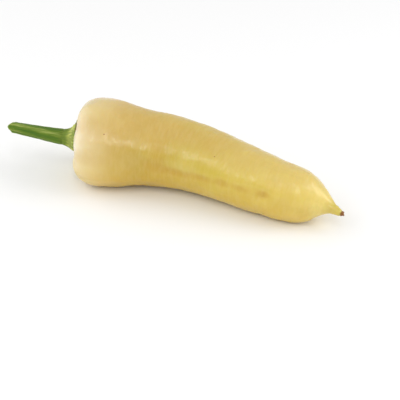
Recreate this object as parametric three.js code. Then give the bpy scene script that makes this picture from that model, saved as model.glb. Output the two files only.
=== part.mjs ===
// A pale yellow sweet pointed pepper, lying on its side as picked.
// Units are millimetres. +Z is up, and z = 0 is the surface that the pepper rests on.
// The pepper lies along X, with its stem towards -X and its tip towards +X. Its front faces -Y.
import * as THREE from "three";
import { ConvexHull } from "three/addons/math/ConvexHull.js";
import { mergeVertices } from "three/addons/utils/BufferGeometryUtils.js";

// ---- Driving dimensions ----
// A station is a distance along X from the end face of the fruit, where the calyx sits. It grows
// towards the tip, so the calyx and the stem have stations below zero.

// Fruit
const fruitLength = 147;
const crownRadius = 14; // ring where the end face stands furthest out
const basinDepth = 1.8; // hollow of the end face inside that ring
const shoulderRadius = 24.2; // widest place
const shoulderAt = 14;
const shoulderSquareness = 2.3; // 2 is an ellipse, and more is boxier
const taperRadius = 20.4; // where the shoulder has narrowed to the slim body
const taperAt = 36;
const waistRadius = 18.1;
const waistAt = 68;
const bellyRadius = 15.4;
const bellyFromTip = 37;
const roundRadius = 12.4; // where the belly has started to close
const roundFromTip = 17.5;
const neckRadius = 5.1; // where the round end has turned into the pointed tip
const neckFromTip = 8.5;
const tipRadius = 1.4;

// Valleys between the lobes: the angle of each, from the front over the top, in degrees, with its
// depth at the shoulder and its half-width, in degrees
const valleys = [
  { angle: 2, depth: 1.3, width: 17 },
  { angle: 55, depth: 0.9, width: 17 },
  { angle: 165, depth: 1.6, width: 20 },
  { angle: 271, depth: 3, width: 20 },
];
const valleyShare = 0.3; // share of a valley's depth that is left along the slim body
const valleyFadeEnd = 62;

// Centre line: how far it swings back and up from a straight line along the length
const endLean = 0.2; // how fast it swings back where it crosses the end face
const endRise = 0.1; // how fast it climbs there, towards the stem
const bowBack = 9;
const bowUp = 1;
const bowAt = 62;
const bellyBack = 0.2;
const neckBack = -1.9;
const neckDrop = 3.2; // how far the neck lies below the middle of the belly
const tipBack = -5.5;
const tipDrop = 4.4;
const stemBack = -4;
const stemUp = 4.6;

// Calyx: a star-shaped cap on the end face, with a flare that carries the stem
const calyxRadius = 10.8;
const calyxThickness = 1;
const calyxShift = 2.2; // how far the round part sits off the stem's axis
const calyxShiftTo = 118; // angle that it sits off towards
const sepals = 6;
const sepalReach = 2.2; // how far a point stands out past the round part
const sepalSway = 0.12; // unevenness of the points' spacing, in radians
const flareFootRadius = 8.2;
const flareHeight = 8.6; // from the end face's ring to the stem
const flareCurve = 1.6; // 1 is a straight cone, and more hollows it out

// Stem
const stemBaseRadius = 4.3;
const stemEndRadius = 3.4;
const stemLength = 31;
const stemRidges = 5;
const stemGroove = 0.4;
const cutSlant = 0.9; // length lost per millimetre away from the edge of the wedge-shaped cut end
const cutFaces = 120; // angle that the cut's upper face looks towards, from the front over the top

// Dry scar that the flower left on the tip, with the stub of its style
const scarRadius = 1.3;
const scarThickness = 0.8;
const styleRadius = 0.5;
const styleLength = 0.9;

const gap = 0.3; // clearance between pieces that grow against each other
const pressedBy = 0.45; // how far the skin is pressed flat where it rests

// Fineness of the meshes
const fruitSides = 50;
const calyxSides = 60;
const stemSides = 30;
const scarSides = 12;
const slopeSpan = 2; // stretch of the centre line that its direction is taken over

// ---- Shared shapes ----

const { clamp, degToRad, lerp, smoothstep } = THREE.MathUtils;
const bellyAt = fruitLength - bellyFromTip;
const neckAt = fruitLength - neckFromTip;
const bellyDrop = shoulderRadius - bellyRadius;
const stemBaseAt = -flareHeight - gap;
const stemEndAt = stemBaseAt - stemLength;

// A smooth function through points, which hold a station and the values there
function curveThrough(points, endingStart = THREE.ZeroCurvatureEnding) {
  const stations = points.map(({ at }) => at);
  const values = points.flatMap(({ value }) => value);
  const track = new THREE.CubicInterpolant(stations, values, points[0].value.length);
  track.settings = { endingStart, endingEnd: THREE.ZeroCurvatureEnding };
  return (at) => [...track.evaluate(at)];
}

// Values from one to another in equal steps, without the first
function steps(from, to, count) {
  return Array.from({ length: count }, (_, i) => lerp(from, to, (i + 1) / count));
}

// A bump of height 1 and a given half-width, at its highest where the two angles agree
function bump(angle, centre, width) {
  const turn = Math.atan2(Math.sin(angle - centre), Math.cos(angle - centre));
  return Math.exp(-((turn / width) ** 2));
}

// How far back and up the centre line lies, from the cut end of the stem to the tip of the fruit
const swing = curveThrough([
  { at: stemEndAt, value: [stemBack, stemUp] },
  { at: -flareHeight, value: [-endLean * flareHeight, endRise * (shoulderAt + flareHeight)] },
  { at: shoulderAt, value: [endLean * shoulderAt, 0] },
  { at: bowAt, value: [bowBack, bowUp - (bellyDrop * bowAt) / bellyAt] },
  { at: bellyAt, value: [bellyBack, -bellyDrop] },
  { at: neckAt, value: [neckBack, -bellyDrop - neckDrop] },
  { at: fruitLength, value: [tipBack, -bellyDrop - tipDrop] },
]);

function centreAt(station) {
  const [back, up] = swing(station);
  return new THREE.Vector3(station, back, up);
}

// The point at an angle and a distance from the centre line, in the plane square to the line. Past
// either end, the line runs straight on.
function around(station, radius, angle) {
  const onLine = clamp(station, stemEndAt, fruitLength);
  const ahead = clamp(onLine + slopeSpan / 2, stemEndAt + slopeSpan, fruitLength);
  const forward = centreAt(ahead).sub(centreAt(ahead - slopeSpan)).normalize();
  const front = new THREE.Vector3().crossVectors(forward, new THREE.Vector3(0, 0, 1)).normalize();
  const above = new THREE.Vector3().crossVectors(front, forward);
  return centreAt(onLine)
    .addScaledVector(forward, station - onLine)
    .addScaledVector(front, radius * Math.cos(angle))
    .addScaledVector(above, radius * Math.sin(angle));
}

// A closed solid round the centre line. The outline runs from the stem's side of the solid to the
// tip's side, and shape(point, angle, index) turns each of its points into a radius and a station.
function turnedSolid(outline, sides, shape) {
  const lathe = new THREE.LatheGeometry(outline, sides);
  const position = lathe.getAttribute("position");
  for (let i = 0; i < position.count; i++) {
    const ring = i % outline.length;
    const angle = (-Math.floor(i / outline.length) * 2 * Math.PI) / sides;
    const [radius, station] = shape(outline[ring], angle, ring);
    const placed = around(station, radius, angle);
    position.setXYZ(i, placed.x, placed.y, placed.z);
  }
  lathe.deleteAttribute("normal");
  lathe.deleteAttribute("uv");
  return mergeVertices(lathe, 1e-3);
}

// ---- Fruit ----

// Station of the end face and the rounded shoulder at a radius, before the valleys
function faceAt(radius) {
  if (radius < crownRadius) {
    return basinDepth * Math.cos((radius / crownRadius) * (Math.PI / 2)) ** 2;
  }
  const out = (radius - crownRadius) / (shoulderRadius - crownRadius);
  return shoulderAt * (1 - (1 - out ** shoulderSquareness) ** (1 / shoulderSquareness));
}

// How deep the valleys press into the skin
function valleyDepth(radius, station, angle) {
  const full = valleys.reduce(
    (sum, valley) => sum + valley.depth * bump(angle, degToRad(valley.angle), degToRad(valley.width)),
    0,
  );
  const overFace = smoothstep(radius, 0, shoulderRadius);
  const alongBody = lerp(1, valleyShare, smoothstep(station, shoulderAt, valleyFadeEnd));
  const beforeTip = 1 - smoothstep(station, bellyAt, fruitLength);
  return full * (station < shoulderAt ? overFace : alongBody * beforeTip);
}

// The outline of the fruit. Each point's share says how much of a valley's depth goes along the
// length there, and the rest goes towards the centre line.
function fruitOutline() {
  const outline = [new THREE.Vector2(0, faceAt(0))];
  const shares = [1];
  for (const radius of steps(0, crownRadius, 6)) {
    outline.push(new THREE.Vector2(radius, faceAt(radius)));
    shares.push(1);
  }
  for (const turn of steps(0, Math.PI / 2, 9)) {
    const out = Math.sin(turn) ** (2 / shoulderSquareness);
    const radius = lerp(crownRadius, shoulderRadius, out);
    outline.push(new THREE.Vector2(radius, faceAt(radius)));
    shares.push(Math.cos(turn));
  }
  const radiusAt = curveThrough(
    [
      { at: shoulderAt, value: [shoulderRadius] },
      { at: taperAt, value: [taperRadius] },
      { at: waistAt, value: [waistRadius] },
      { at: bellyAt, value: [bellyRadius] },
      { at: fruitLength - roundFromTip, value: [roundRadius] },
      { at: neckAt, value: [neckRadius] },
      { at: fruitLength, value: [tipRadius] },
    ],
    THREE.ZeroSlopeEnding,
  );
  for (const station of [...steps(shoulderAt, bellyAt, 24), ...steps(bellyAt, fruitLength, 16)]) {
    outline.push(new THREE.Vector2(radiusAt(station)[0], station));
    shares.push(0);
  }
  outline.push(new THREE.Vector2(0, fruitLength));
  shares.push(0);
  return { outline, shares };
}

function fruitGeometry() {
  const { outline, shares } = fruitOutline();
  return turnedSolid(outline, fruitSides, ({ x: radius, y: station }, angle, index) => {
    const depth = valleyDepth(radius, station, angle);
    const share = shares[index];
    return [radius - depth * Math.sqrt(1 - share ** 2), station + depth * share];
  });
}

// ---- Calyx ----

// How far the calyx reaches past its round part at an angle
function sepalAt(angle) {
  const turn = ((angle + sepalSway * Math.sin(2 * angle)) * sepals) / (2 * Math.PI);
  const fromPoint = 2 * Math.abs(turn - Math.round(turn));
  return sepalReach * (1 - fromPoint) ** 1.5;
}

// The outline's points hold a radius and a height above the end face of the fruit.
function calyxGeometry() {
  const top = gap + calyxThickness;
  const outline = [0, stemBaseRadius / 2].map((radius) =>
    new THREE.Vector2(radius, flareHeight + faceAt(radius)));
  for (const fall of [0, ...steps(0, 1, 7)]) {
    const radius = lerp(stemBaseRadius, flareFootRadius, fall ** flareCurve);
    outline.push(new THREE.Vector2(radius, lerp(flareHeight + faceAt(radius), top, fall)));
  }
  for (const radius of steps(flareFootRadius, calyxRadius, 3)) {
    outline.push(new THREE.Vector2(radius, top));
  }
  outline.push(new THREE.Vector2(calyxRadius, gap));
  for (const radius of steps(calyxRadius, 0, 6)) {
    outline.push(new THREE.Vector2(radius, gap));
  }
  return turnedSolid(outline, calyxSides, ({ x, y: height }, angle) => {
    const outwards = smoothstep(x, stemBaseRadius, calyxRadius);
    const shift = calyxShift * Math.cos(angle - degToRad(calyxShiftTo));
    const radius = x + (sepalAt(angle) + shift) * outwards;
    const face = faceAt(radius) + valleyDepth(radius, faceAt(radius), angle);
    return [radius, face - height];
  });
}

// ---- Stem ----

function stemGeometry() {
  const outline = [new THREE.Vector2(0, stemEndAt), new THREE.Vector2(stemEndRadius / 2, stemEndAt)];
  for (const share of [0, ...steps(0, 1, 14)]) {
    const radius = lerp(stemEndRadius, stemBaseRadius, share ** 2);
    outline.push(new THREE.Vector2(radius, lerp(stemEndAt, stemBaseAt, share)));
  }
  outline.push(new THREE.Vector2(0, stemBaseAt));
  return turnedSolid(outline, stemSides, ({ x, y: station }, angle) => {
    const fromBase = (stemBaseAt - station) / stemLength;
    const groove = (stemGroove * (1 - Math.cos(stemRidges * angle))) / 2;
    const radius = x * (1 - (groove * fromBase) / stemEndRadius);
    const slant = cutSlant * Math.abs(radius * Math.cos(angle - degToRad(cutFaces)));
    return [radius, station + slant * fromBase];
  });
}

// ---- Scar ----

function scarGeometry() {
  const footAt = fruitLength + gap;
  const topAt = footAt + scarThickness;
  const outline = [
    new THREE.Vector2(0, footAt),
    new THREE.Vector2(scarRadius, footAt),
    new THREE.Vector2(scarRadius, lerp(footAt, topAt, 0.5)),
    new THREE.Vector2(styleRadius, topAt),
    new THREE.Vector2(styleRadius, topAt + styleLength),
    new THREE.Vector2(0, topAt + styleLength),
  ];
  return turnedSolid(outline, scarSides, ({ x: radius, y: station }) => [radius, station]);
}

// ---- Resting ----

// The centre of a closed mesh's volume
function centroid(geometry) {
  const position = geometry.getAttribute("position");
  const index = geometry.getIndex();
  const corner = (i) => new THREE.Vector3().fromBufferAttribute(position, index.getX(i));
  const sum = new THREE.Vector3();
  let volume = 0;
  for (let i = 0; i < index.count; i += 3) {
    const [a, b, c] = [corner(i), corner(i + 1), corner(i + 2)];
    const part = a.dot(new THREE.Vector3().crossVectors(b, c)) / 6;
    volume += part;
    sum.addScaledVector(a.add(b).add(c), part / 4);
  }
  return sum.divideScalar(volume);
}

// The turn that makes level the face of the convex hull right below the centroid
function turnToRest(geometry) {
  const hull = new ConvexHull().setFromObject(new THREE.Mesh(geometry));
  const down = new THREE.Ray(centroid(geometry), new THREE.Vector3(0, 0, -1));
  const distanceTo = ({ normal, constant }) =>
    down.distanceToPlane(new THREE.Plane(normal, -constant));
  const [below] = hull.faces
    .filter(({ normal }) => normal.dot(down.direction) > 0)
    .sort((a, b) => distanceTo(a) - distanceTo(b));
  return new THREE.Quaternion().setFromUnitVectors(below.normal, down.direction);
}

// Turns the pieces together until the fruit rests, puts the origin under the middle of their box,
// and presses the fruit flat where it touches z = 0
function layDown(pieces) {
  const geometries = Object.values(pieces);
  for (let turns = 0; turns < 4; turns++) {
    const turn = turnToRest(pieces.fruit);
    geometries.forEach((geometry) => geometry.applyQuaternion(turn));
  }
  const box = new THREE.Box3();
  for (const geometry of geometries) {
    geometry.computeBoundingBox();
    box.union(geometry.boundingBox);
  }
  const middle = box.getCenter(new THREE.Vector3());
  geometries.forEach((geometry) => geometry.translate(-middle.x, -middle.y, -box.min.z - pressedBy));
  const position = pieces.fruit.getAttribute("position");
  for (let i = 0; i < position.count; i++) {
    position.setZ(i, Math.max(0, position.getZ(i)));
  }
  return pieces;
}

// ---- Scene graph ----

const looks = {
  fruit: { color: 0xdcc680, roughness: 0.35 },
  calyx: { color: 0x8a9a48, roughness: 0.6 },
  stem: { color: 0x5c7c34, roughness: 0.55 },
  blossom_scar: { color: 0x7a5230, roughness: 0.9 },
};

const pieces = layDown({
  fruit: fruitGeometry(),
  calyx: calyxGeometry(),
  stem: stemGeometry(),
  blossom_scar: scarGeometry(),
});

const pepper = new THREE.Group();
for (const [name, geometry] of Object.entries(pieces)) {
  const mesh = new THREE.Mesh(geometry, new THREE.MeshStandardMaterial({ ...looks[name], metalness: 0 }));
  mesh.name = name;
  pepper.add(mesh);
}

export default pepper;
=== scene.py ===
import math

import bpy
import numpy as np
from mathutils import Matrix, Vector
from mathutils.bvhtree import BVHTree


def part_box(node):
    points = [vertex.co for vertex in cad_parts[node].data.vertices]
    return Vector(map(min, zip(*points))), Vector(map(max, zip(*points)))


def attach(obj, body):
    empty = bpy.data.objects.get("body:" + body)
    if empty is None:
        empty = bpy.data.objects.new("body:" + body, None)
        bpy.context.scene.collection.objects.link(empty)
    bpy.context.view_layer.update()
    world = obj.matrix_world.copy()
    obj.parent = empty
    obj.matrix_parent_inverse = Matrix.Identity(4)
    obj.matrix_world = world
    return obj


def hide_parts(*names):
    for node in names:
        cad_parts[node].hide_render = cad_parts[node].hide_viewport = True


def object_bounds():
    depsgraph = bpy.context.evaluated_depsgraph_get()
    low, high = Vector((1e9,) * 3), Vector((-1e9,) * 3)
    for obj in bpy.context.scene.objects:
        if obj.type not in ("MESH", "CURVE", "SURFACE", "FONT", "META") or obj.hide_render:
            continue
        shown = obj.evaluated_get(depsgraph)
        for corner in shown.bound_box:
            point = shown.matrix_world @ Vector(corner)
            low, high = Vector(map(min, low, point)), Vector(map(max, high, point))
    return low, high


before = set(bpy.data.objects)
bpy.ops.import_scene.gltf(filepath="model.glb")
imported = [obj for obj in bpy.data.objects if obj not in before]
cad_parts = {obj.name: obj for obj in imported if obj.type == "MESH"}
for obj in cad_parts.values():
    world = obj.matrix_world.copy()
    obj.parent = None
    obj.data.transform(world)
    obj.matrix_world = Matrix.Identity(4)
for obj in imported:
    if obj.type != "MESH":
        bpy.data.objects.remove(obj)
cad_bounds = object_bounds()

MM = 0.001
TURN = 2 * math.pi
UP = np.array((0.0, 0.0, 1.0))


# ---- Casting onto the CAD solids ----


def tree_of(node):
    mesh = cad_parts[node].data
    corners = [vertex.co.copy() for vertex in mesh.vertices]
    return BVHTree.FromPolygons(corners, [tuple(face.vertices) for face in mesh.polygons])


def reach(tree, origin, direction, farthest=1.0):
    """Distance from a point to the first wall along a direction, or None."""
    return tree.ray_cast(Vector(origin), Vector(direction), farthest)[3]


def blur(grid, across, along):
    """Smooths a grid of rows by repeated averaging with its neighbours. Rows close on themselves."""
    for _ in range(across):
        grid = (np.roll(grid, 1, axis=1) + 2 * grid + np.roll(grid, -1, axis=1)) / 4
    for _ in range(along):
        middle = (grid[:-2] + 2 * grid[1:-1] + grid[2:]) / 4
        grid = np.concatenate((grid[:1], middle, grid[-1:]))
    return grid


def unit(vectors):
    return vectors / np.linalg.norm(vectors, axis=-1, keepdims=True)


def centre_line(tree, start, end_x, step, smoothing):
    """Middles of a solid's slices square to X, from a point inside it."""
    rays = [np.array((0, math.cos(turn), math.sin(turn))) for turn in ring_angles(24)]
    middle = np.array(start)
    line = []
    for x in np.linspace(start[0], end_x, round(abs(end_x - start[0]) / step) + 1):
        middle[0] = x
        for _ in range(6):
            middle = np.mean([middle + reach(tree, middle, ray) * ray for ray in rays], axis=0)
        line.append(middle.copy())
    line = np.array(line)
    for _ in range(smoothing):
        line[1:-1] = (line[:-2] + 2 * line[1:-1] + line[2:]) / 4
    return line


def frames_along(line):
    """Directions forward, to the front and above at each point of a line."""
    forward = unit(np.gradient(line, axis=0))
    front = unit(np.cross(forward, UP))
    return forward, front, np.cross(front, forward)


def ring_angles(sides):
    return np.linspace(0, TURN, sides, endpoint=False)


def radial(front, above, angles):
    return np.outer(np.cos(angles), front) + np.outer(np.sin(angles), above)


# ---- Grown detail ----


def waves(points, size, seed, count=28):
    """A smooth random field over points, with swings of about 1 and features of a given size."""
    rng = np.random.default_rng(seed)
    directions = unit(rng.normal(size=(count, 3)))
    steps = TURN / (size * rng.uniform(0.75, 1.5, count))
    phases = rng.uniform(0, TURN, count)
    return np.sin(points @ (directions.T * steps) + phases).sum(axis=-1) * math.sqrt(2 / count)


def hump(offset, width):
    return np.exp(-((offset / width) ** 2))


def turn_between(a, b):
    return np.arctan2(np.sin(a - b), np.cos(a - b))


def ramp_to(value, low, high):
    share = np.clip((value - low) / (high - low), 0, 1)
    return share * share * (3 - 2 * share)


# ---- Meshes ----


def mesh_of_rings(name, grid, attributes, body="root"):
    """A closed skin that faces outwards, through rows of points from the stem's side to the tip's
    side, with a pole in the middle of the first and last rows."""
    rows, sides, _ = grid.shape
    points = np.concatenate((grid.reshape(-1, 3), [grid[0].mean(axis=0), grid[-1].mean(axis=0)]))
    first_pole, last_pole = rows * sides, rows * sides + 1
    faces = []
    for row in range(rows - 1):
        for side in range(sides):
            near, far = row * sides, (row + 1) * sides
            following = (side + 1) % sides
            faces.append((near + side, far + side, far + following, near + following))
    for side in range(sides):
        following = (side + 1) % sides
        faces.append((first_pole, side, following))
        faces.append((last_pole, (rows - 1) * sides + following, (rows - 1) * sides + side))
    mesh = bpy.data.meshes.new(name)
    mesh.from_pydata(points.tolist(), [], faces)
    for label, values in attributes.items():
        flat = values.reshape(rows * sides, -1)
        poles = [flat[:sides].mean(axis=0), flat[-sides:].mean(axis=0)]
        flat = np.concatenate((flat, poles))
        kind = "FLOAT_VECTOR" if flat.shape[1] == 3 else "FLOAT"
        field = "vector" if flat.shape[1] == 3 else "value"
        layer = mesh.attributes.new(label, kind, "POINT")
        layer.data.foreach_set(field, flat.astype(np.float32).ravel())
    mesh.polygons.foreach_set("use_smooth", [True] * len(mesh.polygons))
    mesh.validate()
    piece = bpy.data.objects.new(name, mesh)
    bpy.context.scene.collection.objects.link(piece)
    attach(piece, body)
    return piece


# ---- Fruit ----

FRUIT_SIDES = 208
SHOULDER_MM = 15  # from the end face to the first slice square to the centre line
FACE_ROWS = 52
BODY_STEP_MM = 0.6
TIP_MM = 1.6  # from the last such slice to the tip's end
TIP_ROWS = 6
NEAR_FACE_MM = 12  # depth of the end face and the curve of the shoulder round it
FAR_FROM_CALYX = 99.0

# Dents in the skin, and bulges where the depth is below zero: millimetres along the skin from the
# middle of the end face, degrees from the front over the top, depth, then half-widths along and round
DENTS = [
    (51, 28, -0.62, 3.6, 9.0),
    (66, 26, 0.45, 8, 12.0),
    (78, -2, 0.6, 14, 2.6),
    (97, 4, 0.5, 8, 2.2),
    (109, 9, 0.60, 4, 2.3),
    (119, 11, 0.5, 5, 2.0),
    (131, 13, 0.85, 2.8, 2.1),
    (132, 4, -0.42, 2.4, 2.4),
    (96, 48, 0.16, 13, 6.0),
    (66, 70, 0.20, 12, 5.0),
    (58, 150, 0.30, 10, 5.0),
    (104, 190, 0.28, 9, 5.0),
    (84, 262, 0.25, 12, 4.0),
]
# Unevenness of the skin, coarse to fine: height and size in millimetres, stretch along the body, seed
UNEVENNESS = [(0.28, 22, 0.45, 3), (0.11, 10, 0.8, 5), (0.035, 4.5, 1.4, 8)]
SWELL_MM = -0.2  # draws the skin in all over, to make room for its bumps
# Bulge of the round end and pinch of the tip's neck: millimetres from the tip, depth and half-width
TIP_SHAPE = [(13.5, -0.25, 4.5), (7.0, 0.25, 2.6)]


def fruit_rows(tree):
    """Origins and directions of the rays that meet the skin, row by row from the end face."""
    low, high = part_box("fruit")
    middle = (low + high) / 2
    start = (low.x + SHOULDER_MM * MM, middle.y, middle.z)
    line = centre_line(tree, start, high.x - TIP_MM * MM, BODY_STEP_MM * MM, smoothing=60)
    forward, front, above = frames_along(line)
    angles = ring_angles(FRUIT_SIDES)
    origins, rays = [], []
    for lean in np.linspace(math.pi / 2, 0, FACE_ROWS, endpoint=False)[1:]:
        origins.append(line[0])
        rays.append(math.cos(lean) * radial(front[0], above[0], angles) - math.sin(lean) * forward[0])
    for point, sideways, upwards in zip(line, front, above):
        origins.append(point)
        rays.append(radial(sideways, upwards, angles))
    for lean in np.linspace(0, math.pi / 2, TIP_ROWS + 1, endpoint=False)[1:]:
        origins.append(line[-1])
        rays.append(math.cos(lean) * radial(front[-1], above[-1], angles) + math.sin(lean) * forward[-1])
    return np.array(origins), np.array(rays), angles, (forward[-1], front[-1], above[-1])


def past_calyx_mm(grid, calyx_place):
    """How far each point of the end face lies outside the calyx's edge."""
    face, forward, front, above, edge = calyx_place
    side, rise = (grid - face) @ front, (grid - face) @ above
    angle = np.arctan2(rise, side) % TURN
    edge_there = np.interp(angle, ring_angles(len(edge)), edge, period=TURN)
    near_face = (grid - face) @ forward < NEAR_FACE_MM * MM
    return np.where(near_face, (np.hypot(side, rise) - edge_there) / MM, FAR_FROM_CALYX)


def fruit_detail(travel, angle, girth):
    """How far the skin swells and how deep it is dented, in millimetres, at its travel from the
    middle of the end face, its angle and the fruit's mean radius there."""
    whole = travel[-1, 0]
    across = (girth * np.cos(angle), girth * np.sin(angle))
    swell = SWELL_MM
    for height, size, stretch, seed in UNEVENNESS:
        swell = swell + height * waves(np.stack((*across, travel * stretch), axis=-1), size, seed)
    # Fine ripples that run round the body, stronger towards the tip
    ripples = 0.026 * waves(np.stack((*across, travel * 4), axis=-1) / 4, 2.1, seed=12, count=40)
    ripples *= 0.35 + 0.85 * ramp_to(travel, 30, 80)
    swell += ripples * (0.6 + 0.4 * waves(np.stack((*across, travel), axis=-1), 16, seed=14))
    dents = 0 * travel
    for at, degrees, depth, long, wide in DENTS:
        beside = turn_between(angle, math.radians(degrees)) * girth
        dents += depth * hump(travel - at, long) * hump(beside, wide)
    swell -= dents
    for from_tip, depth, long in TIP_SHAPE:
        swell -= depth * hump(whole - from_tip - travel, long)
    calm = ramp_to(travel, 6, 26) * (1 - ramp_to(travel, whole - 9, whole - 1))
    return swell * (0.25 + 0.75 * calm), dents


def make_fruit(calyx_place):
    tree = tree_of("fruit")
    origins, rays, angles, tip_frame = fruit_rows(tree)
    walls = [[reach(tree, origin, ray) for ray in row] for origin, row in zip(origins, rays)]
    distances = blur(np.array(walls), across=24, along=6)
    grid = origins[:, None] + rays * distances[..., None]
    steps = np.linalg.norm(np.diff(grid.mean(axis=1), axis=0), axis=-1)
    rim = np.linalg.norm(np.diff(grid, axis=0), axis=-1).mean(axis=1)
    travel_mm = np.concatenate(([0], np.cumsum(np.maximum(steps, rim)))) / MM
    # Travel along the skin and girth, which is the mean radius, are in millimetres from here on
    travel, angle = np.meshgrid(travel_mm, angles, indexing="ij")
    girth = np.linalg.norm(grid - grid.mean(axis=1, keepdims=True), axis=-1).mean(axis=1) / MM
    girth = np.broadcast_to(girth[:, None], angle.shape)
    swell, dents = fruit_detail(travel, angle, girth)
    grid = grid + rays * (swell * MM)[..., None]
    grid[..., 2] = np.maximum(grid[..., 2], 0)  # nothing goes below the floor
    plain = blur(distances, across=900, along=0)  # too smooth to follow the valleys
    attributes = {
        "grain": np.stack((girth * np.cos(angle), girth * np.sin(angle), travel), axis=-1),
        "along": travel / travel_mm[-1],
        "valley_shade": (plain - distances) / MM - 1.6 * swell,
        "dent_shade": dents,
        "past_calyx": past_calyx_mm(grid, calyx_place),
    }
    skin = mesh_of_rings("pepper_skin", grid, attributes)
    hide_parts("fruit")
    make_scar(grid[-1].mean(axis=0), *tip_frame)


# ---- Stem ----

STEM_SIDES = 120
STEM_ROWS = 90
STEM_MARGIN_MM = 6  # from the cut end's box to the first slice square to the centre line
FOOT_MM = 1.5  # last stretch before the foot, along which the stem runs straight
STEM_SINK_MM = 0.7  # how far the stem's foot runs into the calyx, so that no gap shows
RIDGES = 6
RIDGE_MM = 0.5
RIDGE_TWIST = 0.5  # turn of the ridges from the cut end to the foot, where the calyx goes on with them
CUT_PROBE_MM = 2.4  # how far off the middle the slope of the cut end is measured
FAR_MM = 30  # far enough to be outside the stem
# Shares of the radius and dips in millimetres across the cut end, from its middle
CUT_FACE = [
    (0.08, 0.3), (0.2, 0.3), (0.32, 0.42), (0.44, 0.46), (0.56, 0.42),
    (0.68, 0.3), (0.78, 0.14), (0.87, 0.02), (0.94, 0.02), (0.985, 0.1),
]


def ridge_height(angle):
    """From 0 in a furrow to 1 on a ridge, round the stem. The ridges are unevenly wide."""
    uneven = angle + 0.22 * np.sin(angle + 1.1) + 0.12 * np.sin(2 * angle + 0.4)
    return 1 - np.abs(np.cos(uneven * RIDGES / 2 + 0.6)) ** 1.6


def slope_of(pair):
    return (pair[1] - pair[0]) / (pair[1, 0] - pair[0, 0])


class Line:
    """A centre line that is looked up by X, and runs straight on past both ends."""

    def __init__(self, points):
        self.points = points

    def at(self, x):
        stations = self.points[:, 0]
        inside = np.clip(x, stations[0], stations[-1])
        found = np.stack([np.interp(inside, stations, values) for values in self.points.T], -1)
        before = np.multiply.outer(np.minimum(x - inside, 0), slope_of(self.points[:2]))
        after = np.multiply.outer(np.maximum(x - inside, 0), slope_of(self.points[-2:]))
        return found + before + after

    def frame(self, x, span=0.6 * MM):
        forward = unit(self.at(x + span) - self.at(x - span))
        front = unit(np.cross(forward, UP))
        return forward, front, np.cross(front, forward)


def stem_line(tree):
    low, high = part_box("stem")
    start = (low.x + STEM_MARGIN_MM * MM, (low.y + high.y) / 2, (low.z + high.z) / 2)
    return Line(centre_line(tree, start, high.x - FOOT_MM * MM, 0.4 * MM, smoothing=40))


def cut_offsets(tree, line, x, angles):
    """How far the cut end lies from a place X along the stem: at the middle, and per length outwards."""
    forward, front, above = line.frame(x)
    outwards = CUT_PROBE_MM * MM
    away = FAR_MM * MM
    start = line.at(x) - away * forward
    middle = reach(tree, start, forward) - away
    spokes = radial(front, above, angles)
    found = np.array([reach(tree, start + outwards * spoke, forward) - away for spoke in spokes])
    return middle, blur((found - middle)[None], across=4, along=0)[0] / outwards


def stem_section(tree, line, x, angles, share):
    """Distances from the centre line to the stem's surface at a share of its length, and its ridges."""
    _, front, above = line.frame(x)
    spokes = radial(front, above, angles)
    radii = np.array([reach(tree, line.at(x), spoke) for spoke in spokes])
    radii = blur(radii[None], across=60, along=0)[0]
    ridge = ridge_height(angles + RIDGE_TWIST * share)
    depth = RIDGE_MM * MM * (1 - 0.45 * share)
    spot = np.stack((4 * np.cos(angles), 4 * np.sin(angles), angles * 0 + share * 6), -1)
    rough = waves(spot, 1.6, seed=21)
    return radii + 0.12 * MM - (1 - ridge) * depth + 0.05 * MM * rough, ridge


def make_stem():
    tree = tree_of("stem")
    line = stem_line(tree)
    angles = ring_angles(STEM_SIDES)
    low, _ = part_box("stem")
    near_cut = low.x + STEM_MARGIN_MM * MM
    line_end = line.points[-1, 0]
    foot = line_end + FOOT_MM * MM + STEM_SINK_MM * MM
    middle, slope = cut_offsets(tree, line, near_cut, angles)
    # Rows of (share of the way from the cut to the foot, share of the radius, dip of the cut face)
    rows = [(0, width, dip) for width, dip in CUT_FACE]
    rows += [(share, 1, 0) for share in np.linspace(0, 1, STEM_ROWS + 1)[1:]]
    grid, shares, ridged, cut, travel = [], [], [], [], []
    for share, width, dip in rows:
        section_x = np.clip(near_cut + share * (foot - near_cut), near_cut, line_end)
        radii, ridge = stem_section(tree, line, section_x, angles, share)
        radii = width * radii
        start = near_cut + middle + radii * slope + dip * MM
        x = start + share * (foot - start)
        _, front, above = line.frame(float(x.mean()))
        grid.append(line.at(x) + radii[:, None] * radial(front, above, angles))
        shares.append(np.full(STEM_SIDES, share))
        ridged.append(ridge)
        cut.append(np.full(STEM_SIDES, 1.0 if share == 0 else 0.0) * width)
        travel.append((x - near_cut) / MM)
    grid.append(grid[-1] + (line.at(foot) - grid[-1]) * 0.6)
    for values in (shares, ridged, cut, travel):
        values.append(values[-1])
    travel = np.array(travel)
    around = np.broadcast_to(angles, travel.shape)
    attributes = {
        "grain": np.stack((4 * np.cos(around), 4 * np.sin(around), travel), axis=-1),
        "along": np.array(shares),
        "ridge": np.array(ridged),
        "cut": np.array(cut),
    }
    stem = mesh_of_rings("pepper_stem", np.array(grid), attributes)
    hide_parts("stem")
    return line, foot


# ---- Calyx ----

CALYX_SIDES = 300
CALYX_ROWS = 56
CALYX_DEPTH_MM = 3  # from the end face down to the point that its rays meet in
CALYX_FAR_MM = 60  # far enough to be outside the calyx
CALYX_TOP = math.radians(17)  # angle between the stem's axis and the first ray
EDGE_RANGE = (math.radians(50), math.radians(88))  # angles between which the edge is searched
NOTCH_TURN = 0.034  # how far the edge draws back between two sepals, as an angle of its ray
FRAY_TURN = 0.009  # unevenness of the edge, as an angle of its ray
WRINKLE_MM = 0.2
RIB_MM = 0.3  # rib along the middle of a sepal
FURROW_MM = 0.5  # furrow between two ridges that run down from the stem


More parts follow.
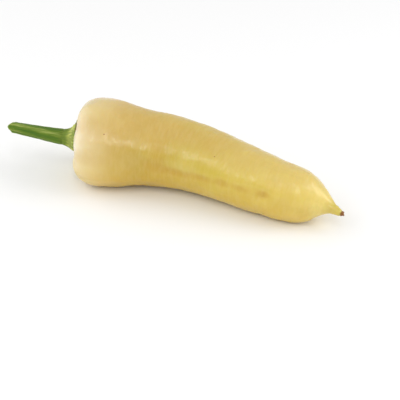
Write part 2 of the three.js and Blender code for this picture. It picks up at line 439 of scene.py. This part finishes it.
def calyx_frame(fruit_tree, line, foot):
    """The point where the stem's axis meets the end face, and the axes there."""
    forward, front, above = line.frame(foot - FOOT_MM * MM)
    start = line.at(foot)
    return start + reach(fruit_tree, start, forward) * forward, forward, front, above


def calyx_ray(forward, spoke, lean):
    return spoke * math.sin(lean) - forward * math.cos(lean)


def calyx_edge(tree, centre, forward, spoke):
    """The widest lean at which a ray from outside still meets the calyx."""
    far = CALYX_FAR_MM * MM
    inside, outside = EDGE_RANGE
    for _ in range(14):
        lean = (inside + outside) / 2
        ray = calyx_ray(forward, spoke, lean)
        if reach(tree, centre + ray * far, -ray, far) is None:
            outside = lean
        else:
            inside = lean
    return inside


def calyx_edges(tree, centre, forward, spokes, angles):
    """Lean of the edge all round, and how far out on a sepal each place lies, from 0 to 1."""
    edges = np.array([calyx_edge(tree, centre, forward, spoke) for spoke in spokes])
    edges = blur(edges[None], across=2, along=0)[0]
    sepal = ((edges - edges.min()) / np.ptp(edges)) ** 0.8
    spot = np.stack((9 * np.cos(angles), 9 * np.sin(angles), 0 * angles), -1)
    return edges - NOTCH_TURN * (1 - sepal) + FRAY_TURN * waves(spot, 3, seed=31), sepal


def cast_calyx(tree, fruit_tree, centre, forward, spokes, edges, shares):
    """Distances to the calyx's top and to the fruit along rays from the stem out to the edge, and
    the rays themselves."""
    far = CALYX_FAR_MM * MM
    tops, floors, rays = [], [], []
    for share in shares:
        row_tops, row_floors, row_rays = [], [], []
        for spoke, edge in zip(spokes, edges):
            ray = calyx_ray(forward, spoke, CALYX_TOP + share * (edge - CALYX_TOP))
            hit = reach(tree, centre + ray * far, -ray, far)
            if hit is not None:
                row_tops.append(far - hit)
            else:
                row_tops.append(row_tops[-1] if row_tops else np.nan)
            row_floors.append(reach(fruit_tree, centre, ray))
            row_rays.append(ray)
        tops.append(row_tops)
        floors.append(row_floors)
        rays.append(row_rays)
    tops, floors, rays = np.array(tops), np.array(floors), np.array(rays)
    missing = np.isnan(tops)
    tops[missing] = floors[missing] + 1 * MM
    return blur(tops, across=3, along=2), floors, rays


def calyx_thickness(tops, floors, spread, angles, sepal, wrinkle):
    """Height of the calyx's top over the fruit, with its ribs, furrows and wrinkles."""
    thick = np.maximum(tops - floors, 0.2 * MM)
    skirt = ramp_to(spread, 0.45, 0.85)
    rib = sepal[None, :] * ramp_to(spread, 0.25, 0.6) * (1 - ramp_to(spread, 0.8, 1))
    furrow = (1 - ridge_height(angles + RIDGE_TWIST))[None, :] * (1 - ramp_to(spread, 0.1, 0.8))
    wrinkled = WRINKLE_MM * wrinkle * ramp_to(spread, 0.15, 0.6)
    swell = RIB_MM * rib - FURROW_MM * furrow + wrinkled
    thick = np.maximum(thick * (1 - 0.25 * skirt) + swell * MM, 0.25 * MM)
    return thick * (1 - 0.45 * ramp_to(spread, 0.93, 1.0))


def calyx_wrinkles(flat, face, front, above, spread, angles):
    across = (flat - face) @ np.stack((front, above), axis=-1) / MM
    polar = (7 * np.cos(angles) + 0 * spread, 7 * np.sin(angles) + 0 * spread, spread * 5)
    spot = np.concatenate((across, spread[..., None]), -1)
    return waves(np.stack(polar, -1), 1.5, seed=33) + 0.7 * waves(spot, 2.4, seed=35)


def calyx_underside(centre, rays, floors):
    """Rows that turn the edge in under itself and sink it into the fruit."""
    return [
        centre + rays[-1] * (floors[-1] + 0.12 * MM)[:, None],
        centre + rays[-1] * (floors[-1] - 0.25 * MM)[:, None],
        centre + rays[-8] * (floors[-8] - 0.9 * MM)[:, None],
    ]


def make_calyx(line, foot):
    """Makes the calyx. Returns the middle of the end face, its axes and the edge's radii."""
    tree, fruit_tree = tree_of("calyx"), tree_of("fruit")
    face, forward, front, above = calyx_frame(fruit_tree, line, foot)
    centre = face + forward * CALYX_DEPTH_MM * MM
    angles = ring_angles(CALYX_SIDES)
    spokes = radial(front, above, angles)
    edges, sepal = calyx_edges(tree, centre, forward, spokes, angles)
    shares = np.linspace(0, 1, CALYX_ROWS) ** 0.8
    tops, floors, rays = cast_calyx(tree, fruit_tree, centre, forward, spokes, edges, shares)
    flat = centre + rays * floors[..., None]
    spread = shares[:, None] * np.ones(CALYX_SIDES)
    wrinkle = calyx_wrinkles(flat, face, front, above, spread, angles)
    distances = floors + calyx_thickness(tops, floors, spread, angles, sepal, wrinkle)
    grid = [centre + ray * distance[:, None] for ray, distance in zip(rays, distances)]
    grid = np.array(grid + calyx_underside(centre, rays, floors))
    more = grid.shape[0] - CALYX_ROWS
    spread = np.concatenate((spread, np.ones((more, CALYX_SIDES))))
    around = np.broadcast_to(angles, spread.shape)
    attributes = {
        "grain": np.stack((9 * np.cos(around), 9 * np.sin(around), spread * 12), axis=-1),
        "along": spread,
        "relief": np.concatenate((wrinkle, np.zeros((more, CALYX_SIDES)))),
        "sepal": np.broadcast_to(sepal, spread.shape).copy(),
    }
    calyx = mesh_of_rings("pepper_calyx", grid, attributes)
    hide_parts("calyx")
    edge_points = (grid[CALYX_ROWS - 1] - face) @ np.stack((front, above), axis=-1)
    return face, forward, front, above, np.linalg.norm(edge_points, axis=-1)


# ---- Scar on the tip ----

SCAR_SIDES = 48
# Height above the tip and radius, in millimetres, from the sunk foot to the end of the style
SCAR_PROFILE = [
    (-0.9, 0.6), (-0.5, 0.95), (0.0, 1.15), (0.25, 1.2), (0.5, 1.15), (0.7, 1.0), (0.85, 0.8),
    (0.95, 0.62), (1.15, 0.5), (1.4, 0.44), (1.65, 0.42), (1.8, 0.34), (1.88, 0.2),
]
SCAR_ROWS = 46
STYLE_LEAN = 0.25  # how far the style leans to the front, per length


def make_scar(tip, forward, front, above):
    angles = ring_angles(SCAR_SIDES)
    heights, radii = zip(*SCAR_PROFILE)
    fine = np.linspace(0, len(heights) - 1, SCAR_ROWS)
    heights = np.interp(fine, range(len(heights)), heights)
    radii = np.interp(fine, range(len(radii)), radii)
    ring = radial(front, above, angles)
    grid = []
    for height, radius in zip(heights, radii):
        spot = np.stack((np.cos(angles), np.sin(angles), 0 * angles + height), -1)
        rough = 1 + 0.12 * waves(spot, 0.7, seed=41) + 0.06 * waves(spot, 0.3, seed=43)
        lean = STYLE_LEAN * max(height - 0.8, 0) * front
        grid.append(tip + (height * forward + lean) * MM + ring * (radius * rough * MM)[:, None])
    grid = np.array(grid)
    around = np.broadcast_to(angles, grid.shape[:2])
    tall = np.broadcast_to(heights[:, None], grid.shape[:2])
    attributes = {"grain": np.stack((1.3 * np.cos(around), 1.3 * np.sin(around), tall), axis=-1)}
    scar = mesh_of_rings("pepper_scar", grid, attributes)
    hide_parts("blossom_scar")


# ---- Materials ----


def rgb(red, green, blue):
    """A colour as the eye names it, 0 to 255, as the linear one that shaders take."""
    shares = [value / 255 for value in (red, green, blue)]
    linear = [x / 12.92 if x <= 10 / 255 else ((x + 0.055) / 1.055) ** 2.4 for x in shares]
    return (*linear, 1)


class Shading:
    """A material, built up one node at a time."""

    def __init__(self, name):
        self.material = bpy.data.materials.new(name)
        self.material.use_nodes = True
        self.tree = self.material.node_tree
        self.shader = self.tree.nodes["Principled BSDF"]

    def feed(self, socket, value):
        if isinstance(value, bpy.types.NodeSocket):
            self.tree.links.new(value, socket)
        else:
            socket.default_value = value

    def add(self, kind, inputs, output=0, **settings):
        node = self.tree.nodes.new("ShaderNode" + kind)
        for name, value in settings.items():
            setattr(node, name, value)
        for name, value in inputs.items():
            self.feed(node.inputs[name], value)
        return node.outputs[output]

    def value_of(self, name):
        return self.add("Attribute", {}, output="Fac", attribute_name=name)

    def vector_of(self, name):
        return self.add("Attribute", {}, output="Vector", attribute_name=name)

    def math(self, operation, a, b=0.0):
        return self.add("Math", {0: a, 1: b}, operation=operation)

    def stretched(self, vector, x, y, z):
        return self.add("VectorMath", {0: vector, 1: (x, y, z)}, operation="MULTIPLY")

    def noise(self, vector, scale, detail=3.0, roughness=0.5):
        inputs = {"Vector": vector, "Scale": scale, "Detail": detail, "Roughness": roughness}
        return self.add("TexNoise", inputs, output=0)

    def between(self, value, low, high):
        """0 below low and 1 above high, with a soft step between them."""
        inputs = {"Value": value, "From Min": low, "From Max": high}
        return self.add("MapRange", inputs, interpolation_type="SMOOTHSTEP")

    def ramp(self, value, stops):
        node = self.tree.nodes.new("ShaderNodeValToRGB")
        elements = node.color_ramp.elements
        while len(elements) < len(stops):
            elements.new(1)
        for element, (position, colour) in zip(elements, stops):
            element.position = position
            element.color = colour
        self.feed(node.inputs["Fac"], value)
        return node.outputs["Color"]

    def mix(self, factor, first, second):
        inputs = {0: factor, 6: first, 7: second}
        return self.add("Mix", inputs, output=2, data_type="RGBA")

    def tint(self, base, where, share, colour):
        """A base colour with a share of another one where a value is 1."""
        return self.mix(self.math("MULTIPLY", where, share), base, colour)

    def spread(self, noise, low, high):
        """Noise, which keeps near 0.5, spread from low to high."""
        inputs = {"Value": noise, "From Min": 0.3, "From Max": 0.7, "To Min": low, "To Max": high}
        return self.add("MapRange", inputs)

    def bump(self, height, distance, strength=1.0, under=None):
        inputs = {"Height": height, "Distance": distance, "Strength": strength}
        if under is not None:
            inputs["Normal"] = under
        return self.add("Bump", inputs)

    def finish(self, **inputs):
        for name, value in inputs.items():
            self.feed(self.shader.inputs[name.replace("_", " ")], value)
        return self.material


def skin_base(skin, grain, along):
    """Creamy at the shoulder, deeper yellow along the body and greener at the tip, with patches."""
    base = skin.ramp(along, [
        (0.0, rgb(246, 238, 212)), (0.13, rgb(244, 234, 204)), (0.2, rgb(223, 199, 138)),
        (0.25, rgb(200, 168, 78)), (0.31, rgb(193, 162, 58)), (0.38, rgb(190, 161, 38)),
        (0.48, rgb(193, 168, 34)), (0.62, rgb(206, 181, 54)), (0.78, rgb(219, 193, 82)),
        (0.935, rgb(228, 204, 110)), (0.965, rgb(204, 187, 80)), (1.0, rgb(196, 181, 74)),
    ])
    patches = skin.noise(skin.stretched(grain, 1, 1, 0.6), 0.05, 2)
    return skin.tint(base, skin.between(patches, 0.35, 0.75), 0.6, rgb(218, 195, 100))


def skin_hollow_shade(skin, base):
    """Painted shade: darker, deeper yellow in the valleys and in the dents."""
    valley_shade = skin.between(skin.value_of("valley_shade"), -0.2, 1.6)
    base = skin.tint(base, valley_shade, 0.45, rgb(200, 160, 32))
    dent_shade = skin.between(skin.value_of("dent_shade"), 0.08, 0.6)
    return skin.tint(base, dent_shade, 0.55, rgb(194, 152, 18))


def skin_streaks(skin, grain, along, low_side):
    """1 in lengthwise streaks, which show on the slim body and below."""
    streaks = skin.noise(skin.stretched(grain, 1, 1, 0.08), 0.42, 3, 0.6)
    slim = skin.math("MULTIPLY", skin.between(along, 0.2, 0.45), 0.2)
    slim = skin.math("ADD", slim, skin.math("MULTIPLY", low_side, 0.25))
    return skin.math("MULTIPLY", skin.between(streaks, 0.45, 0.8), slim)


def skin_freckles(skin, grain):
    """1 in the small middles of about a third of the cells, and 0 elsewhere."""
    cell = {"Vector": grain, "Scale": 0.16}
    middle = skin.between(skin.add("TexVoronoi", cell, output="Distance"), 0.045, 0.075)
    lots = skin.add("SeparateXYZ", {0: skin.add("TexVoronoi", cell, output="Color")})
    return skin.math("MULTIPLY", skin.math("SUBTRACT", 1.0, middle), skin.between(lots, 0.68, 0.7))


def skin_ring(skin):
    """1 close to the calyx's edge, and 0 elsewhere."""
    off = skin.math("SUBTRACT", skin.value_of("past_calyx"), 0.1)
    return skin.math("SUBTRACT", 1.0, skin.between(skin.math("ABSOLUTE", off), 0.1, 0.7))


def skin_material():
    skin = Shading("pepper_skin")
    grain = skin.vector_of("grain")
    along = skin.value_of("along")
    rise = skin.add("SeparateXYZ", {0: grain}, output=1)
    low_side = skin.between(skin.math("MULTIPLY", rise, -1), -2.0, 16.0)
    top_reflection = skin.between(rise, 6.0, 17.0)
    cross = skin.noise(skin.stretched(grain, 0.25, 0.25, 1), 0.6, 3, 0.6)
    base = skin_base(skin, grain, along)
    base = skin.mix(skin_streaks(skin, grain, along, low_side), base, rgb(188, 172, 62))
    base = skin_hollow_shade(skin, base)
    # Painted reflection: deeper yellow on the low side, standing in for yellow light bounced up from
    # below
    base = skin.tint(base, low_side, 0.55, rgb(214, 173, 18))
    # Painted reflection: a greyer, less yellow top side, standing in for the white surroundings
    # reflected there
    base = skin.tint(base, top_reflection, 0.4, rgb(204, 173, 112))
    base = skin.tint(base, skin.between(cross, 0.35, 0.7), 0.11, rgb(232, 212, 146))
    base = skin.tint(base, skin_freckles(skin, grain), 0.8, rgb(160, 104, 52))
    base = skin.tint(base, skin_ring(skin), 0.4, rgb(196, 160, 92))
    slender = {"Value": along, "From Min": 0.2, "From Max": 0.5, "To Min": 0.5}
    rippled = skin.math("MULTIPLY", cross, skin.add("MapRange", slender))
    normal = skin.bump(rippled, 0.0006, 0.6)
    normal = skin.bump(skin.noise(grain, 1.6, 3, 0.6), 0.00006, 0.5, normal)
    return skin.finish(
        Base_Color=base, Roughness=skin.spread(cross, 0.34, 0.50), Normal=normal, IOR=1.45,
        Subsurface_Weight=0.35, Subsurface_Radius=(1.0, 0.65, 0.25), Subsurface_Scale=0.004,
        Coat_Weight=0.65, Coat_Roughness=0.22,
    )


def stem_material():
    stem = Shading("pepper_stem")
    grain = stem.vector_of("grain")
    along = stem.value_of("along")
    ridge = stem.value_of("ridge")
    fibres = stem.noise(stem.stretched(grain, 1, 1, 0.06), 1.4, 4, 0.6)
    stripes = stem.math("ADD", stem.math("MULTIPLY", ridge, 0.26), stem.math("MULTIPLY", fibres, 0.95))
    green = stem.ramp(stripes, [
        (0.40, rgb(70, 106, 22)), (0.54, rgb(86, 117, 22)), (0.68, rgb(102, 126, 32)),
        (0.82, rgb(146, 160, 78)),
    ])
    foot = stem.between(along, 0.9, 1.0)
    green = stem.mix(foot, green, stem.ramp(fibres, [(0.3, rgb(72, 98, 14)), (0.7, rgb(124, 142, 48))]))
    blotch = stem.noise(grain, 0.35, 3)
    green = stem.tint(green, stem.between(blotch, 0.55, 0.75), 0.3, rgb(120, 120, 52))
    cut = stem.value_of("cut")
    pith = stem.ramp(cut, [
        (0.0, rgb(196, 202, 150)), (0.45, rgb(186, 196, 132)), (0.7, rgb(132, 160, 84)),
        (0.86, rgb(196, 204, 150)), (1.0, rgb(150, 168, 92)),
    ])
    green = stem.mix(stem.between(cut, 0.001, 0.02), green, pith)
    normal = stem.bump(fibres, 0.00025, 0.7)
    normal = stem.bump(stem.noise(grain, 2.4, 4, 0.6), 0.0001, 0.6, normal)
    return stem.finish(
        Base_Color=green, Roughness=stem.spread(fibres, 0.52, 0.7), Normal=normal, IOR=1.45,
        Subsurface_Weight=0.12, Subsurface_Radius=(0.5, 0.8, 0.2), Subsurface_Scale=0.0015,
        Specular_IOR_Level=0.3,
    )


def calyx_material():
    calyx = Shading("pepper_calyx")
    grain = calyx.vector_of("grain")
    along = calyx.value_of("along")
    relief = calyx.value_of("relief")
    sepal = calyx.value_of("sepal")
    fibres = calyx.noise(calyx.stretched(grain, 1, 1, 0.15), 0.9, 4, 0.6)
    green = calyx.ramp(along, [
        (0.0, rgb(104, 126, 30)), (0.12, rgb(120, 140, 42)), (0.27, rgb(188, 193, 92)),
        (0.5, rgb(198, 203, 110)), (0.75, rgb(150, 167, 66)), (0.95, rgb(160, 172, 88)),
        (1.0, rgb(204, 200, 136)),
    ])
    tone = calyx.math("ADD", calyx.math("MULTIPLY", relief, 0.16), fibres)
    dark = calyx.mix(0.55, green, rgb(92, 116, 40))
    green = calyx.mix(calyx.between(tone, 0.35, 0.75), dark, green)
    tips = calyx.math("MULTIPLY", calyx.between(along, 0.86, 0.98), calyx.between(sepal, 0.45, 0.9))
    green = calyx.tint(green, tips, 0.75, rgb(108, 84, 40))
    normal = calyx.bump(fibres, 0.0003, 0.8)
    normal = calyx.bump(calyx.noise(grain, 1.8, 4, 0.6), 0.00015, 0.7, normal)
    return calyx.finish(
        Base_Color=green, Roughness=calyx.spread(fibres, 0.5, 0.68), Normal=normal, IOR=1.45,
        Subsurface_Weight=0.15, Subsurface_Radius=(0.6, 0.8, 0.2), Subsurface_Scale=0.0015,
        Specular_IOR_Level=0.3,
    )


def scar_material():
    scar = Shading("pepper_scar")
    grain = scar.vector_of("grain")
    fibres = scar.noise(grain, 2.6, 4, 0.65)
    brown = scar.ramp(fibres, [
        (0.25, rgb(92, 54, 24)), (0.5, rgb(142, 92, 44)), (0.75, rgb(190, 144, 84)),
    ])
    normal = scar.bump(fibres, 0.0003, 0.9)
    return scar.finish(Base_Color=brown, Roughness=scar.spread(fibres, 0.7, 0.95), Normal=normal)


# ---- Stage ----

CAMERA_AZIMUTH = 20.5
CAMERA_ELEVATION = 32
CAMERA_DISTANCE = 0.5861
CAMERA_LENS = 100
# Where the camera looks, from the bottom middle of the pepper's box
CAMERA_AIM = Vector((0.0162, -0.0067, 0.0009))
BACKDROP = 0.66
FLOOR_HALF = 3
FLOOR_DROP_MM = 0.1  # keeps the floor off the flat spots that the pepper rests on
FLOOR_GREY = 0.93
LIGHTS_AIM = Vector((0, 0, 0.02))
# Name, azimuth, elevation, distance, width and height in metres, and watts
LIGHTS = [
    ("left", -84, 24, 1.2, (1.6, 1.2), 6.5),
    ("key", -20, 44, 1.0, (0.1, 0.55), 1.0),
    ("front", 26, 46, 1.0, (0.08, 0.7), 1.5),
    ("right", 104, 32, 1.0, (0.6, 0.7), 3.6),
]


def view_back(azimuth, elevation):
    a, e = math.radians(azimuth), math.radians(elevation)
    return Vector((math.sin(a) * math.cos(e), -math.cos(a) * math.cos(e), math.sin(e)))


def make_camera():
    low, high = cad_bounds
    aim = Vector(((low[0] + high[0]) / 2, (low[1] + high[1]) / 2, low[2])) + CAMERA_AIM
    data = bpy.data.cameras.new("camera")
    data.lens = CAMERA_LENS
    data.sensor_width = 36
    camera = bpy.data.objects.new("camera", data)
    back = view_back(CAMERA_AZIMUTH, CAMERA_ELEVATION)
    camera.location = aim + back * CAMERA_DISTANCE
    camera.rotation_euler = back.to_track_quat("Z", "Y").to_euler()
    bpy.context.scene.collection.objects.link(camera)
    bpy.context.scene.camera = camera


def make_light(name, azimuth, elevation, distance, size, watts):
    data = bpy.data.lights.new(name, "AREA")
    data.shape = "RECTANGLE"
    data.size, data.size_y = size
    data.energy = watts
    light = bpy.data.objects.new(name, data)
    back = view_back(azimuth, elevation)
    light.location = LIGHTS_AIM + back * distance
    light.rotation_euler = back.to_track_quat("Z", "Y").to_euler()
    bpy.context.scene.collection.objects.link(light)


def make_backdrop():
    world = bpy.data.worlds.new("studio")
    world.use_nodes = True
    background = world.node_tree.nodes["Background"]
    background.inputs["Color"].default_value = (1, 1, 1, 1)
    background.inputs["Strength"].default_value = BACKDROP
    bpy.context.scene.world = world


def make_floor():
    mesh = bpy.data.meshes.new("floor")
    half, below = FLOOR_HALF, -FLOOR_DROP_MM * MM
    corners = [(-half, -half, below), (half, -half, below), (half, half, below), (-half, half, below)]
    mesh.from_pydata(corners, [], [(0, 1, 2, 3)])
    floor = bpy.data.objects.new("floor", mesh)
    bpy.context.scene.collection.objects.link(floor)
    pale = bpy.data.materials.new("pale_floor")
    pale.use_nodes = True
    shader = pale.node_tree.nodes["Principled BSDF"]
    shader.inputs["Base Color"].default_value = (FLOOR_GREY, FLOOR_GREY, FLOOR_GREY, 1)
    shader.inputs["Roughness"].default_value = 0.9
    mesh.materials.append(pale)


def make_stage():
    make_backdrop()
    make_floor()
    for light in LIGHTS:
        make_light(*light)
    bpy.context.scene.view_settings.view_transform = "Standard"


def make_pepper():
    """Makes the pieces. Each material has the name of the piece that wears it."""
    line, foot = make_stem()
    calyx_place = make_calyx(line, foot)
    make_fruit(calyx_place)
    for material in (stem_material(), calyx_material(), skin_material(), scar_material()):
        bpy.data.objects[material.name].data.materials.append(material)


make_pepper()
make_camera()
make_stage()
